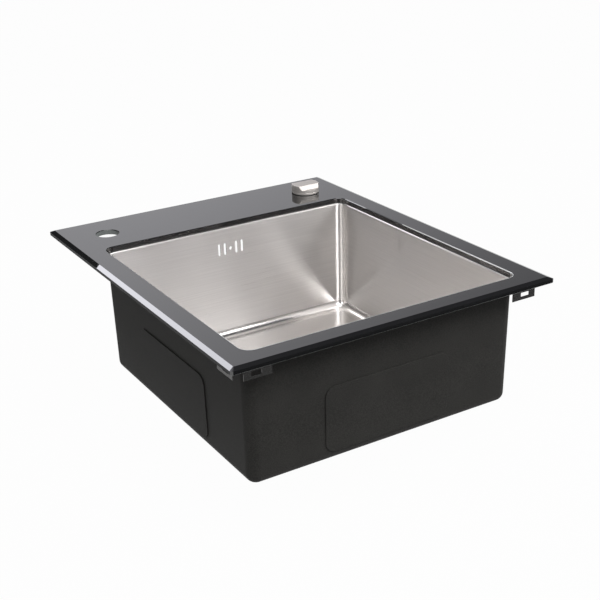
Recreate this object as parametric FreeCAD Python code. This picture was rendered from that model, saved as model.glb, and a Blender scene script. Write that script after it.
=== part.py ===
"""Drop-in kitchen sink: a bevelled glass deck, a pressed steel bowl and a pop-up waste with its knob.

All sizes are in millimetres. The origin is the centre of the deck's outline on the worktop's surface.
+X runs to the right along the tap ledge, +Y towards the ledge and +Z up.
"""

import FreeCAD
import Part

import math
import os

from FreeCAD import Vector

# Glass deck
DECK_W = 500.0
DECK_D = 600.0
DECK_CORNER_R = 4.0
GLASS_T = 8.0
BEVEL_W = 6.8
BEVEL_DROP = 2.7
BEVEL_CORNER_R = 1.0
ARRIS = 0.6
OPENING_ARRIS = 0.9
SIDE_MARGIN = 37.0
FRONT_MARGIN = 34.0
LEDGE_D = 130.0
OPENING_R = 16.0
LEDGE_HOLE_D = 35.0
LEDGE_HOLE_FROM_SIDE = 69.5
LEDGE_HOLE_FROM_BACK = 69.0

# Seals between worktop, glass and steel
SEAL_T = 2.0
SEAL_W = 5.0
SEAL_INSET = 4.5
BOND_T = 0.8
BOND_SETBACK = 1.0
BOND_EDGE = 2.0

# Pressed bowl and its rim
SHEET_T = 1.0
BOWL_LIP = 1.5
BOWL_FRONT_LIP = 3.5
DRAFT = math.radians(0.8)
OVERALL_DEPTH = 194.0
BOWL_CORNER_R = 14.0
FLOOR_R = 13.0
RIM_BEND_R = 1.0
RIM_INSET = 13.0
RIM_CORNER_R = 8.0
RIM_HOLE_D = 52.0

# Overflow slots in the wall on the ledge's side
OVERFLOW_DROP = 44.0
OVERFLOW_SLOT_W = 4.0
OVERFLOW_SLOT_H = 20.0
OVERFLOW_PITCH = 10.2
OVERFLOW_DOT_D = 5.0

# Slotted hanger tabs under the rim
TAB_W = 39.0
TAB_T = 1.2
TAB_DROP = 18.8
TAB_FOOT = 9.0
TAB_BEND_R = 1.0
TAB_FROM_CORNER = 42.5
TAB_SLOT_W = 14.5
TAB_SLOT_H = 6.0
TAB_SLOT_DROP = 11.5
TAB_SLOT_SHIFT = 2.0

# Sound-deadening pads on the outside of the bowl
PAD_W = 198.0
PAD_H = 96.0
PAD_T = 1.5
PAD_R = 15.0
PAD_EDGE_R = 0.7
PAD_DROP = 83.7
FLOOR_PAD_W = 90.0
FLOOR_PAD_D = 240.0
FLOOR_PAD_X = 135.0

# Waste fitting
RECESS_FLOOR_R = 59.0
RECESS_RUN = 4.0
RECESS_DEPTH = 5.0
RECESS_BEND_R = 2.0
DRAIN_R = 45.0
GASKET_R = 55.0
TOP_GASKET_T = 1.5
LOWER_GASKET_T = 3.0
STRAINER_RIM_R = 56.0
STRAINER_T = 1.2
CUP_R = 43.0
CUP_DEPTH = 23.0
SEAT_HOLE_R = 26.0
SCREW_COUNT = 3
SCREW_CIRCLE_R = 36.0
SCREW_R = 2.5
SCREW_HEAD_R = 4.5
SCREW_HEAD_T = 2.0
SCREW_LENGTH = 12.0
BODY_RIM_T = 4.0
BODY_WALL = 3.5
BODY_CLEARANCE = 2.0
CHAMBER_R = 28.0
LEDGE_T = 5.0
BOSS_WALL = 2.5
SPIDER_ARM_COUNT = 3
SPIDER_ARM_W = 4.0
SPIDER_HUB_WALL = 4.0
SPIDER_DROP = 9.0
SPIDER_H = 8.0
OUTLET_R = 23.9
OUTLET_BORE_R = 20.0
OUTLET_LENGTH = 20.0
FUNNEL_H = 8.0
CHAMBER_FOOT = 14.0

# Basket plug
BASKET_R = 38.0
BASKET_LIP_R = 40.5
BASKET_T = 0.8
BASKET_H = 16.0
BASKET_HOLE_R = 2.0
BASKET_HOLE_COUNT = 16
BASKET_SLOT_W = 3.0
BASKET_SLOT_H = 8.0
PLUG_SEAL_R = 30.0
PLUG_SEAL_T = 3.0
SEAL_PLATE_R = 20.0
SEAL_PLATE_T = 1.5
STEM_R = 4.0
STEM_COLLAR_R = 8.0
STEM_COLLAR_T = 2.0
STEM_NUT_AF = 14.0
STEM_NUT_T = 5.0
PLUG_GRIP_R = 11.0
PLUG_GRIP_T = 6.0
PLUG_GRIP_RISE = 1.0

# Rocker that lifts the plug
ROCKER_DROP = 32.0
ROCKER_SWING = math.radians(30.0)
FINGER_LENGTH = 20.0
FINGER_TIP_R = 3.0
FINGER_W = 8.0
FINGER_ARM_T = 3.0
FINGER_HUB_R = 7.0
SHAFT_R = 4.0
SHAFT_BOSS_R = 8.5
SHAFT_BOSS_END = 36.0
SHAFT_SOCKET_END = 26.0
GLAND_SPIGOT_R = 6.2
GLAND_SPIGOT_L = 6.0
GLAND_HEAD_R = 8.0
GLAND_HEAD_T = 4.0
SHAFT_ORING_T = 1.8
BRACKET_T = 2.0
BRACKET_EYE_R = 11.0
BRACKET_REACH = 36.0
BRACKET_TAB_W = 16.0
CRANK_T = 4.0
CRANK_HUB_R = 8.0
CRANK_LENGTH = 26.0
CRANK_TIP_R = 5.0
CRANK_EYE_R = 1.6

# Cable glands
CABLE_GLAND_R = 4.0
CABLE_GLAND_HEAD_R = 6.0
CABLE_GLAND_HEAD_T = 3.0
CABLE_GLAND_L = 8.0
CABLE_BORE_R = 1.6

# Knob on the ledge and its drive below
KNOB_TURN = math.radians(90.0)
KNOB_GASKET_T = 1.0
KNOB_GASKET_R = 22.0
ROSE_R = 23.0
ROSE_T = 3.0
GRIP_R = 22.7
GRIP_H = 11.5
GRIP_LEDGE_H = 4.0
GRIP_NOTCH_TOP = 12.0
GRIP_NOTCH_FOOT = 16.0
GRIP_EDGE_R = 1.2
GRIP_SOCKET_DEPTH = 7.5
GRUB_R = 1.5
GRUB_L = 8.0
SHANK_R = 16.0
SHANK_LENGTH = 36.0
SPINDLE_R = 5.0
SPINDLE_ORING_R = 7.5
SPINDLE_ORING_T = 2.0
DECK_WASHER_R = 23.0
DECK_WASHER_T = 2.0
BACK_NUT_AF = 42.0
BACK_NUT_T = 8.0
HOUSING_R = 20.0
HOUSING_WALL = 3.0
HOUSING_COLLAR_H = 12.0
HOUSING_WEB_T = 3.0
HOUSING_CAVITY_H = 15.0
HOUSING_COVER_T = 3.0
DRUM_R = 13.0
DRUM_H = 10.0
DRUM_GROOVE_W = 4.0
CLIP_R = 8.0
CLIP_T = 0.8
CLIP_GROOVE = 0.8

# Clearances
RUN_CLEARANCE = 0.1
FIT_CLEARANCE = 0.05
LOOSE_CLEARANCE = 0.3
CUT_OVERRUN = 5.0

# Levels
GLASS_BOTTOM = SEAL_T
GLASS_TOP = GLASS_BOTTOM + GLASS_T
BEVEL_FOOT = GLASS_TOP - BEVEL_DROP
RIM_TOP = GLASS_BOTTOM - BOND_T
RIM_BOTTOM = RIM_TOP - SHEET_T
BOWL_BOTTOM = GLASS_TOP - OVERALL_DEPTH
BOWL_FLOOR = BOWL_BOTTOM + SHEET_T
RECESS_FLOOR = BOWL_FLOOR - RECESS_DEPTH
STRAINER_BOTTOM = RECESS_FLOOR + TOP_GASKET_T
STRAINER_TOP = STRAINER_BOTTOM + STRAINER_T
SEAT_TOP = STRAINER_TOP - CUP_DEPTH
SEAT_BOTTOM = SEAT_TOP - STRAINER_T
BODY_TOP = RECESS_FLOOR - SHEET_T - LOWER_GASKET_T
BODY_LEDGE_BOTTOM = SEAT_BOTTOM - LEDGE_T
ROCKER_Z = SEAT_TOP - ROCKER_DROP
CHAMBER_FLOOR = ROCKER_Z - CHAMBER_FOOT
OUTLET_TOP = CHAMBER_FLOOR - FUNNEL_H
OUTLET_BOTTOM = OUTLET_TOP - OUTLET_LENGTH
ROSE_BOTTOM = GLASS_TOP + KNOB_GASKET_T
ROSE_TOP = ROSE_BOTTOM + ROSE_T
GRIP_BOTTOM = ROSE_TOP + LOOSE_CLEARANCE
GRIP_TOP = GRIP_BOTTOM + GRIP_H
SHANK_BOTTOM = GLASS_TOP - SHANK_LENGTH
CAVITY_TOP = SHANK_BOTTOM - HOUSING_WEB_T
CAVITY_BOTTOM = CAVITY_TOP - HOUSING_CAVITY_H

# Plan sizes
OPENING_W = DECK_W - 2 * SIDE_MARGIN
OPENING_D = DECK_D - FRONT_MARGIN - LEDGE_D
OPENING_Y = (FRONT_MARGIN - LEDGE_D) / 2
BOWL_W = OPENING_W - 2 * BOWL_LIP
BOWL_D = OPENING_D - BOWL_LIP - BOWL_FRONT_LIP
BOWL_Y = OPENING_Y + (BOWL_FRONT_LIP - BOWL_LIP) / 2
RECESS_R = RECESS_FLOOR_R + RECESS_RUN
RIM_W = DECK_W - 2 * RIM_INSET
RIM_D = DECK_D - 2 * RIM_INSET
HOLE_X = DECK_W / 2 - LEDGE_HOLE_FROM_SIDE
HOLE_Y = DECK_D / 2 - LEDGE_HOLE_FROM_BACK
ROCKER_Y = BOWL_Y - FINGER_LENGTH * (1 + math.cos(ROCKER_SWING / 2)) / 2
CRANK_X = SHAFT_BOSS_END + BRACKET_T + GLAND_HEAD_T + LOOSE_CLEARANCE
CABLE_X = CRANK_X + CRANK_T / 2
CABLE_Z = ROCKER_Z - CRANK_LENGTH
PLUG_LIFT = 2 * FINGER_LENGTH * math.sin(ROCKER_SWING / 2)
CABLE_PULL = 2 * CRANK_LENGTH * math.sin(ROCKER_SWING / 2)
DRUM_GROOVE_R = CABLE_PULL / KNOB_TURN

UP = Vector(0, 0, 1)
RIGHT = Vector(1, 0, 0)
BACK = Vector(0, 1, 0)


def rounded_outline(width, depth, radius, centre_y, z):
    """Closed wire of a rectangle with rounded corners, level at z and centred on x = 0."""
    half_w = width / 2
    half_d = depth / 2
    slant = radius * (1 - math.sqrt(0.5))
    edges = []
    quarter = FreeCAD.Rotation(UP, 90)
    sides = [(half_w, half_d), (half_d, half_w), (half_w, half_d), (half_d, half_w)]
    turn = FreeCAD.Rotation()
    for across, along in sides:
        start = Vector(across, radius - along, 0)
        corner = Vector(across, along - radius, 0)
        middle = Vector(across - slant, along - slant, 0)
        end = Vector(across - radius, along, 0)
        shift = Vector(0, centre_y, z)
        points = [turn.multVec(p) + shift for p in (start, corner, middle, end)]
        edges.append(Part.makeLine(points[0], points[1]))
        edges.append(Part.Arc(points[1], points[2], points[3]).toShape())
        turn = quarter.multiply(turn)
    return Part.Wire(edges)


def plate(width, depth, radius, centre_y, low, high):
    """Level plate with rounded corners between two heights."""
    face = Part.Face(rounded_outline(width, depth, radius, centre_y, low))
    return face.extrude(UP * (high - low))


def cylinder(radius, low, high, x, y):
    """Upright cylinder between two heights."""
    return Part.makeCylinder(radius, high - low, Vector(x, y, low), UP)


def tube(outer, inner, low, high, x, y):
    """Upright ring between two heights."""
    return cylinder(outer, low, high, x, y).cut(cylinder(inner, low, high, x, y))


def bar(radius, start, end, y, z):
    """Level cylinder along X between two stations."""
    return Part.makeCylinder(radius, end - start, Vector(start, y, z), RIGHT)


def turned(profile, x, y):
    """Solid of revolution about the upright axis at (x, y), from (radius, height) points."""
    points = [Vector(x + radius, y, height) for radius, height in profile]
    face = Part.Face(Part.makePolygon(points + points[:1]))
    return face.revolve(Vector(x, y, 0), UP, 360)


def hexagon(across_flats, low, high, x, y):
    """Upright hexagonal prism."""
    corner = Vector(x + across_flats / math.sqrt(3), y, low)
    points = [turned_corner.Point for turned_corner in around(Part.Vertex(corner), 6, x, y)]
    return Part.Face(Part.makePolygon(points + points[:1])).extrude(UP * (high - low))


def around(shape, count, x, y):
    """Copies of a shape spaced evenly about the upright axis at (x, y)."""
    copies = []
    for index in range(count):
        copy = shape.copy()
        copy.rotate(Vector(x, y, 0), UP, 360 * index / count)
        copies.append(copy)
    return copies


def edges_at(shape, z, half_w, half_d, centre_y):
    """Edges that lie level at z inside a centred rectangle, its outline included."""
    found = []
    for edge in shape.Edges:
        box = edge.BoundBox
        level = abs(box.ZMin - z) < FIT_CLEARANCE and abs(box.ZMax - z) < FIT_CLEARANCE
        within_x = max(abs(box.XMin), abs(box.XMax)) < half_w + FIT_CLEARANCE
        within_y = max(abs(box.YMin - centre_y), abs(box.YMax - centre_y)) < half_d + FIT_CLEARANCE
        if level and within_x and within_y:
            found.append(edge)
    return found


def glass_deck():
    """Deck with a bevelled outer edge, the bowl's opening and two round holes in the ledge."""
    base = plate(DECK_W, DECK_D, DECK_CORNER_R, 0, GLASS_BOTTOM, BEVEL_FOOT)
    top_w = DECK_W - 2 * BEVEL_W
    top_d = DECK_D - 2 * BEVEL_W
    foot = rounded_outline(DECK_W, DECK_D, DECK_CORNER_R, 0, BEVEL_FOOT)
    crown = rounded_outline(top_w, top_d, BEVEL_CORNER_R, 0, GLASS_TOP)
    deck = base.fuse(Part.makeLoft([foot, crown], True, True))
    low = GLASS_BOTTOM - CUT_OVERRUN
    high = GLASS_TOP + CUT_OVERRUN
    deck = deck.cut(plate(OPENING_W, OPENING_D, OPENING_R, OPENING_Y, low, high))
    for x in (-HOLE_X, HOLE_X):
        deck = deck.cut(cylinder(LEDGE_HOLE_D / 2, low, high, x, HOLE_Y))
    inner = edges_at(deck, GLASS_TOP, top_w / 2 - BEVEL_W, top_d / 2 - BEVEL_W, 0)
    deck = deck.makeChamfer(OPENING_ARRIS, inner)
    under = edges_at(deck, GLASS_BOTTOM, DECK_W / 2, DECK_D / 2, 0)
    return deck.makeChamfer(ARRIS, under)


def worktop_seal():
    """Foam strip under the edge of the glass."""
    outer_w = DECK_W - 2 * SEAL_INSET
    outer_d = DECK_D - 2 * SEAL_INSET
    corner = RIM_CORNER_R + SEAL_W
    outer = plate(outer_w, outer_d, corner, 0, 0, SEAL_T)
    inner = plate(outer_w - 2 * SEAL_W, outer_d - 2 * SEAL_W, RIM_CORNER_R, 0, 0, SEAL_T)
    return outer.cut(inner)


def bond_seal():
    """Adhesive sheet between the glass and the steel rim, open at the bowl and at the ledge's holes."""
    sheet = plate(RIM_W - 2 * BOND_EDGE, RIM_D - 2 * BOND_EDGE, RIM_CORNER_R, 0, RIM_TOP, GLASS_BOTTOM)
    mouth_w = OPENING_W + 2 * BOND_SETBACK
    mouth_d = OPENING_D + 2 * BOND_SETBACK
    sheet = sheet.cut(plate(mouth_w, mouth_d, OPENING_R + BOND_SETBACK, OPENING_Y, RIM_TOP, GLASS_BOTTOM))
    for x in (-HOLE_X, HOLE_X):
        sheet = sheet.cut(cylinder(RIM_HOLE_D / 2 + BOND_SETBACK, RIM_TOP, GLASS_BOTTOM, x, HOLE_Y))
    return sheet


def bowl_form(grow, high, low, corner_radius, floor_radius):
    """Drafted block with rounded corners and floor, its walls moved out from the bowl's inside by grow."""
    floor_inset = (RIM_TOP - low) * math.tan(DRAFT) - grow
    mouth_inset = (RIM_TOP - high) * math.tan(DRAFT) - grow
    floor_w = BOWL_W / 2 - floor_inset
    floor_d = BOWL_D / 2 - floor_inset
    mouth_w = BOWL_W / 2 - mouth_inset
    mouth_d = BOWL_D / 2 - mouth_inset
    block = Part.makeWedge(
        -floor_w, low, -floor_d, -mouth_d, -mouth_w, floor_w, high, floor_d, mouth_d, mouth_w
    )
    block.rotate(Vector(0, 0, 0), RIGHT, 90)
    block.translate(Vector(0, BOWL_Y, 0))
    upright = [edge for edge in block.Edges if edge.BoundBox.ZLength > (high - low) / 2]
    block = block.makeFillet(corner_radius, upright)
    return block.makeFillet(floor_radius, edges_at(block, low, BOWL_W, BOWL_D, BOWL_Y))


def overflow_cuts():
    """Two pairs of upright slots with a round hole between them, through the wall on the ledge's side."""
    z = GLASS_TOP - OVERFLOW_DROP
    wall_y = BOWL_Y + BOWL_D / 2
    start = wall_y - 2 * CUT_OVERRUN
    reach = 4 * CUT_OVERRUN
    cuts = [Part.makeCylinder(OVERFLOW_DOT_D / 2, reach, Vector(0, start, z), BACK)]
    half_straight = (OVERFLOW_SLOT_H - OVERFLOW_SLOT_W) / 2
    for step in (-2, -1, 1, 2):
        x = step * OVERFLOW_PITCH
        corner = Vector(x - OVERFLOW_SLOT_W / 2, start, z - half_straight)
        slot = Part.makeBox(OVERFLOW_SLOT_W, reach, 2 * half_straight, corner)
        for end in (-half_straight, half_straight):
            round_end = Part.makeCylinder(OVERFLOW_SLOT_W / 2, reach, Vector(x, start, z + end), BACK)
            slot = slot.fuse(round_end)
        cuts.append(slot)
    return cuts


def bowl():
    """Pressed bowl with a flat rim, a rolled bend into the walls, a waste recess and overflow slots."""
    joint = RIM_BOTTOM + SHEET_T / 2
    outside = bowl_form(SHEET_T, joint, BOWL_BOTTOM, BOWL_CORNER_R + SHEET_T, FLOOR_R + SHEET_T)
    inside = bowl_form(0, RIM_TOP + CUT_OVERRUN, BOWL_FLOOR, BOWL_CORNER_R, FLOOR_R)
    rim = plate(RIM_W, RIM_D, RIM_CORNER_R, 0, RIM_BOTTOM, RIM_TOP)
    sink = rim.fuse(outside)
    under = edges_at(sink, RIM_BOTTOM, BOWL_W / 2 + RIM_BEND_R, BOWL_D / 2 + RIM_BEND_R, BOWL_Y)
    sink = sink.makeFillet(RIM_BEND_R, under)
    axis = Vector(0, BOWL_Y, RECESS_FLOOR - SHEET_T)
    dish = Part.makeCone(RECESS_FLOOR_R + SHEET_T, RECESS_R + SHEET_T, RECESS_DEPTH, axis, UP)
    sink = sink.fuse(dish).cut(inside)
    axis = Vector(0, BOWL_Y, RECESS_FLOOR)
    sink = sink.cut(Part.makeCone(RECESS_FLOOR_R, RECESS_R, RECESS_DEPTH, axis, UP))
    bends = {
        BOWL_FLOOR: RECESS_BEND_R + SHEET_T,
        BOWL_BOTTOM: RECESS_BEND_R,
        RECESS_FLOOR: RECESS_BEND_R,
        RECESS_FLOOR - SHEET_T: RECESS_BEND_R + SHEET_T,
    }
    reach = RECESS_R + SHEET_T
    for z, radius in bends.items():
        sink = sink.makeFillet(radius, edges_at(sink, z, reach, reach, BOWL_Y))
    mouth = edges_at(sink, RIM_TOP, BOWL_W / 2, BOWL_D / 2, BOWL_Y)
    sink = sink.makeFillet(RIM_BEND_R + SHEET_T, mouth)
    sink = sink.cut(cylinder(DRAIN_R, RECESS_FLOOR - CUT_OVERRUN, RECESS_FLOOR + CUT_OVERRUN, 0, BOWL_Y))
    for x in (-HOLE_X, HOLE_X):
        sink = sink.cut(cylinder(RIM_HOLE_D / 2, RIM_BOTTOM, RIM_TOP, x, HOLE_Y))
    for cut in overflow_cuts():
        sink = sink.cut(cut)
    return sink


def bend_edge(shape, y, z):
    """Edges that run along X at one depth and height."""
    found = []
    for edge in shape.Edges:
        box = edge.BoundBox
        level = abs(box.ZMin - z) < FIT_CLEARANCE and abs(box.ZMax - z) < FIT_CLEARANCE
        straight = abs(box.YMin - y) < FIT_CLEARANCE and abs(box.YMax - y) < FIT_CLEARANCE
        if level and straight:
            found.append(edge)
    return found


def hanger_tab(slot_shift):
    """L-shaped tab with its outer face on y = 0 facing -Y and its foot flat under the rim."""
    low = GLASS_BOTTOM - TAB_DROP
    tab = Part.makeBox(TAB_W, TAB_T, RIM_BOTTOM - low, Vector(-TAB_W / 2, 0, low))
    foot = Part.makeBox(TAB_W, TAB_FOOT, TAB_T, Vector(-TAB_W / 2, 0, RIM_BOTTOM - TAB_T))
    piece = tab.fuse(foot).removeSplitter()
    inner = bend_edge(piece, TAB_T, RIM_BOTTOM - TAB_T)
    piece = piece.makeFillet(TAB_BEND_R, inner)
    piece = piece.makeFillet(TAB_BEND_R + TAB_T, bend_edge(piece, 0, RIM_BOTTOM))
    slot_z = GLASS_BOTTOM - TAB_SLOT_DROP - TAB_SLOT_H / 2
    corner = Vector(slot_shift - TAB_SLOT_W / 2, -TAB_T, slot_z)
    return piece.cut(Part.makeBox(TAB_SLOT_W, 3 * TAB_T, TAB_SLOT_H, corner))


def hanger_tabs():
    """Tabs at both ends of the front and the back and at one end of each side, slots towards the corners."""
    sides = {
        "bracket_front": (0, RIM_D / 2, DECK_W / 2, (-1, 1)),
        "bracket_right": (90, RIM_W / 2, DECK_D / 2, (1,)),
        "bracket_back": (180, RIM_D / 2, DECK_W / 2, (-1, 1)),
        "bracket_left": (270, RIM_W / 2, DECK_D / 2, (1,)),
    }
    nodes = {}
    for name, (angle, out, half_side, hands) in sides.items():
        tabs = []
        for hand in hands:
            tab = hanger_tab(hand * TAB_SLOT_SHIFT)
            tab.translate(Vector(hand * (half_side - TAB_FROM_CORNER), -out, 0))
            tab.rotate(Vector(0, 0, 0), UP, angle)
            tabs.append(tab)
        nodes[name] = Part.makeCompound(tabs)
    return nodes


def flat_pad(width, height):
    """Pad lying on z = 0, centred on the origin, with its upper edge rounded over."""
    pad = plate(width, height, PAD_R, 0, 0, PAD_T)
    return pad.makeFillet(PAD_EDGE_R, edges_at(pad, PAD_T, width / 2, height / 2, 0))


def wall_pads():
    """One pad on the outside of each wall, tilted with the wall's draft."""
    z = GLASS_TOP - PAD_DROP - PAD_H / 2
    inset = (RIM_TOP - z) * math.tan(DRAFT) - SHEET_T
    sides = {
        "pad_front": (0, BOWL_D / 2),
        "pad_right": (90, BOWL_W / 2),
        "pad_back": (180, BOWL_D / 2),
        "pad_left": (270, BOWL_W / 2),
    }
    nodes = {}
    for name, (angle, half) in sides.items():
        pad = flat_pad(PAD_W, PAD_H)
        pad.rotate(Vector(0, 0, 0), RIGHT, 90 + math.degrees(DRAFT))
        pad.translate(Vector(0, inset - half, z))
        pad.rotate(Vector(0, 0, 0), UP, angle)
        pad.translate(Vector(0, BOWL_Y, 0))
        nodes[name] = pad
    return nodes


def floor_pads():
    """Two pads under the floor, one on each side of the waste."""
    pads = []
    for x in (-FLOOR_PAD_X, FLOOR_PAD_X):
        pad = flat_pad(FLOOR_PAD_W, FLOOR_PAD_D)
        pad.rotate(Vector(0, 0, 0), RIGHT, 180)
        pad.translate(Vector(x, BOWL_Y, BOWL_BOTTOM))
        pads.append(pad)
    return Part.makeCompound(pads)


def waste_flange():
    """Strainer flange: a flat rim in the recess, a cup through the drain hole and a seat ring below."""
    inner = CUP_R - STRAINER_T
    profile = [
        (STRAINER_RIM_R, STRAINER_BOTTOM),
        (STRAINER_RIM_R, STRAINER_TOP),
        (CUP_R, STRAINER_TOP),
        (inner, STRAINER_BOTTOM),
        (inner, SEAT_TOP),
        (SEAT_HOLE_R, SEAT_TOP),
        (SEAT_HOLE_R, SEAT_BOTTOM),
        (CUP_R, SEAT_BOTTOM),
        (CUP_R, STRAINER_BOTTOM),
    ]
    flange = turned(profile, 0, BOWL_Y)
    hole = cylinder(SCREW_R + RUN_CLEARANCE, SEAT_BOTTOM, SEAT_TOP, SCREW_CIRCLE_R, BOWL_Y)
    for cut in around(hole, SCREW_COUNT, 0, BOWL_Y):
        flange = flange.cut(cut)
    return flange


def waste_screws():
    """Screws from the seat ring into the body's bosses."""
    head = cylinder(SCREW_HEAD_R, SEAT_TOP, SEAT_TOP + SCREW_HEAD_T, SCREW_CIRCLE_R, BOWL_Y)
    shank = cylinder(SCREW_R, SEAT_TOP - SCREW_LENGTH, SEAT_TOP, SCREW_CIRCLE_R, BOWL_Y)
    return Part.makeCompound(around(head.fuse(shank), SCREW_COUNT, 0, BOWL_Y))


def waste_body():
    """Moulded body under the bowl, with bosses for screws and shaft, a lift chamber and an outlet."""
    cup_inner = CUP_R + BODY_CLEARANCE
    cup_outer = cup_inner + BODY_WALL
    chamber_outer = CHAMBER_R + BODY_WALL
    outside = turned(
        [
            (0, BODY_TOP),
            (STRAINER_RIM_R, BODY_TOP),
            (STRAINER_RIM_R, BODY_TOP - BODY_RIM_T),
            (cup_outer, BODY_TOP - BODY_RIM_T),
            (cup_outer, BODY_LEDGE_BOTTOM),
            (chamber_outer, BODY_LEDGE_BOTTOM),
            (chamber_outer, CHAMBER_FLOOR),
            (OUTLET_R, OUTLET_TOP),
            (OUTLET_R, OUTLET_BOTTOM),
            (0, OUTLET_BOTTOM),
        ],
        0,
        BOWL_Y,
    )
    boss_low = SEAT_TOP - SCREW_LENGTH - BOSS_WALL
    boss = cylinder(SCREW_R + BOSS_WALL, boss_low, BODY_LEDGE_BOTTOM, SCREW_CIRCLE_R, BOWL_Y)
    for copy in around(boss, SCREW_COUNT, 0, BOWL_Y):
        outside = outside.fuse(copy)
    socket_wall = SHAFT_SOCKET_END + BODY_WALL
    outside = outside.fuse(bar(SHAFT_BOSS_R, -socket_wall, SHAFT_BOSS_END, ROCKER_Y, ROCKER_Z))
    inside = turned(
        [
            (0, BODY_TOP),
            (cup_inner, BODY_TOP),
            (cup_inner, SEAT_BOTTOM),
            (CHAMBER_R, SEAT_BOTTOM),
            (CHAMBER_R, CHAMBER_FLOOR),
            (OUTLET_BORE_R, OUTLET_TOP),
            (OUTLET_BORE_R, OUTLET_BOTTOM),
            (0, OUTLET_BOTTOM),
        ],
        0,
        BOWL_Y,
    )
    body = outside.cut(inside)
    hole = cylinder(SCREW_R + RUN_CLEARANCE, SEAT_TOP - SCREW_LENGTH, SEAT_BOTTOM, SCREW_CIRCLE_R, BOWL_Y)
    for cut in around(hole, SCREW_COUNT, 0, BOWL_Y):
        body = body.cut(cut)
    body = body.cut(bar(SHAFT_R + RUN_CLEARANCE, -SHAFT_SOCKET_END, SHAFT_BOSS_END, ROCKER_Y, ROCKER_Z))
    packing = SHAFT_BOSS_END - GLAND_SPIGOT_L - SHAFT_ORING_T
    body = body.cut(bar(GLAND_SPIGOT_R, packing, SHAFT_BOSS_END, ROCKER_Y, ROCKER_Z))
    return body.fuse(stem_guide()).removeSplitter()


def stem_guide():
    """Hub on arms across the chamber, which guides the plug's stem."""
    high = SEAT_TOP - SPIDER_DROP
    low = high - SPIDER_H
    hub_r = STEM_R + RUN_CLEARANCE + SPIDER_HUB_WALL
    guide = cylinder(hub_r, low, high, 0, BOWL_Y)
    reach = CHAMBER_R + BODY_WALL / 2
    arm = Part.makeBox(reach, SPIDER_ARM_W, SPIDER_H, Vector(0, BOWL_Y - SPIDER_ARM_W / 2, low))
    arm.rotate(Vector(0, BOWL_Y, 0), UP, -90)
    for copy in around(arm, SPIDER_ARM_COUNT, 0, BOWL_Y):
        guide = guide.fuse(copy)
    return guide.cut(cylinder(STEM_R + RUN_CLEARANCE, low, high, 0, BOWL_Y))


def basket():
    """Strainer basket: a sheet cup with a lip, slots in its wall and holes in its floor."""
    low = SEAT_TOP + PLUG_SEAL_T
    high = low + BASKET_H
    inner = BASKET_R - BASKET_T
    profile = [
        (0, low),
        (BASKET_R, low),
        (BASKET_R, high - BASKET_T),
        (BASKET_LIP_R, high - BASKET_T),
        (BASKET_LIP_R, high),
        (inner, high),
        (inner, low + BASKET_T),
        (0, low + BASKET_T),
    ]
    cup = turned(profile, 0, BOWL_Y)
    cup = cup.cut(cylinder(STEM_R + FIT_CLEARANCE, low, low + BASKET_T, 0, BOWL_Y))
    hole_circle = (PLUG_SEAL_R + inner) / 2
    hole = cylinder(BASKET_HOLE_R, low, low + BASKET_T, hole_circle, BOWL_Y)
    slot_low = low + (BASKET_H - BASKET_SLOT_H) / 2
    corner = Vector(inner - BASKET_T, BOWL_Y - BASKET_SLOT_W / 2, slot_low)
    slot = Part.makeBox(3 * BASKET_T, BASKET_SLOT_W, BASKET_SLOT_H, corner)
    for shape in (hole, slot):
        for cut in around(shape, BASKET_HOLE_COUNT, 0, BOWL_Y):
            cup = cup.cut(cut)
    return cup


def plug_stem():
    """Stem with a collar that clamps the basket, from inside the grip down to the rocker's finger."""
    floor = SEAT_TOP + PLUG_SEAL_T + BASKET_T
    tip_rest = ROCKER_Z - FINGER_LENGTH * math.sin(ROCKER_SWING / 2) + FINGER_TIP_R
    stem = cylinder(STEM_R, tip_rest + LOOSE_CLEARANCE, plug_grip_bottom(), 0, BOWL_Y)
    return stem.fuse(cylinder(STEM_COLLAR_R, floor, floor + STEM_COLLAR_T, 0, BOWL_Y))


def plug_grip_bottom():
    """Height of the underside of the grip on the plug."""
    return STRAINER_TOP + PLUG_GRIP_RISE - PLUG_GRIP_T


def plug_grip():
    """Small turned grip on top of the plug's stem."""
    low = plug_grip_bottom()
    high = low + PLUG_GRIP_T
    waist = low + PLUG_GRIP_T / 2
    profile = [
        (0, low),
        (STEM_COLLAR_R, low),
        (PLUG_GRIP_R, waist),
        (PLUG_GRIP_R, high - ARRIS),
        (PLUG_GRIP_R - ARRIS, high),
        (0, high),
    ]
    return turned(profile, 0, BOWL_Y)


def plug_pieces():
    """Everything that lifts with the plug."""
    seal = tube(PLUG_SEAL_R, STEM_R + FIT_CLEARANCE, SEAT_TOP, SEAT_TOP + PLUG_SEAL_T, 0, BOWL_Y)
    plate_low = SEAT_TOP - SEAL_PLATE_T
    backing = tube(SEAL_PLATE_R, STEM_R + FIT_CLEARANCE, plate_low, SEAT_TOP, 0, BOWL_Y)
    nut = hexagon(STEM_NUT_AF, plate_low - STEM_NUT_T, plate_low, 0, BOWL_Y)
    nut = nut.cut(cylinder(STEM_R + FIT_CLEARANCE, plate_low - STEM_NUT_T, plate_low, 0, BOWL_Y))
    return {
        "basket": basket(),
        "plug_seal": seal,
        "seal_plate": backing,
        "stem_nut": nut,
        "plug_stem": plug_stem(),
        "plug_grip": plug_grip(),
    }


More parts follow.
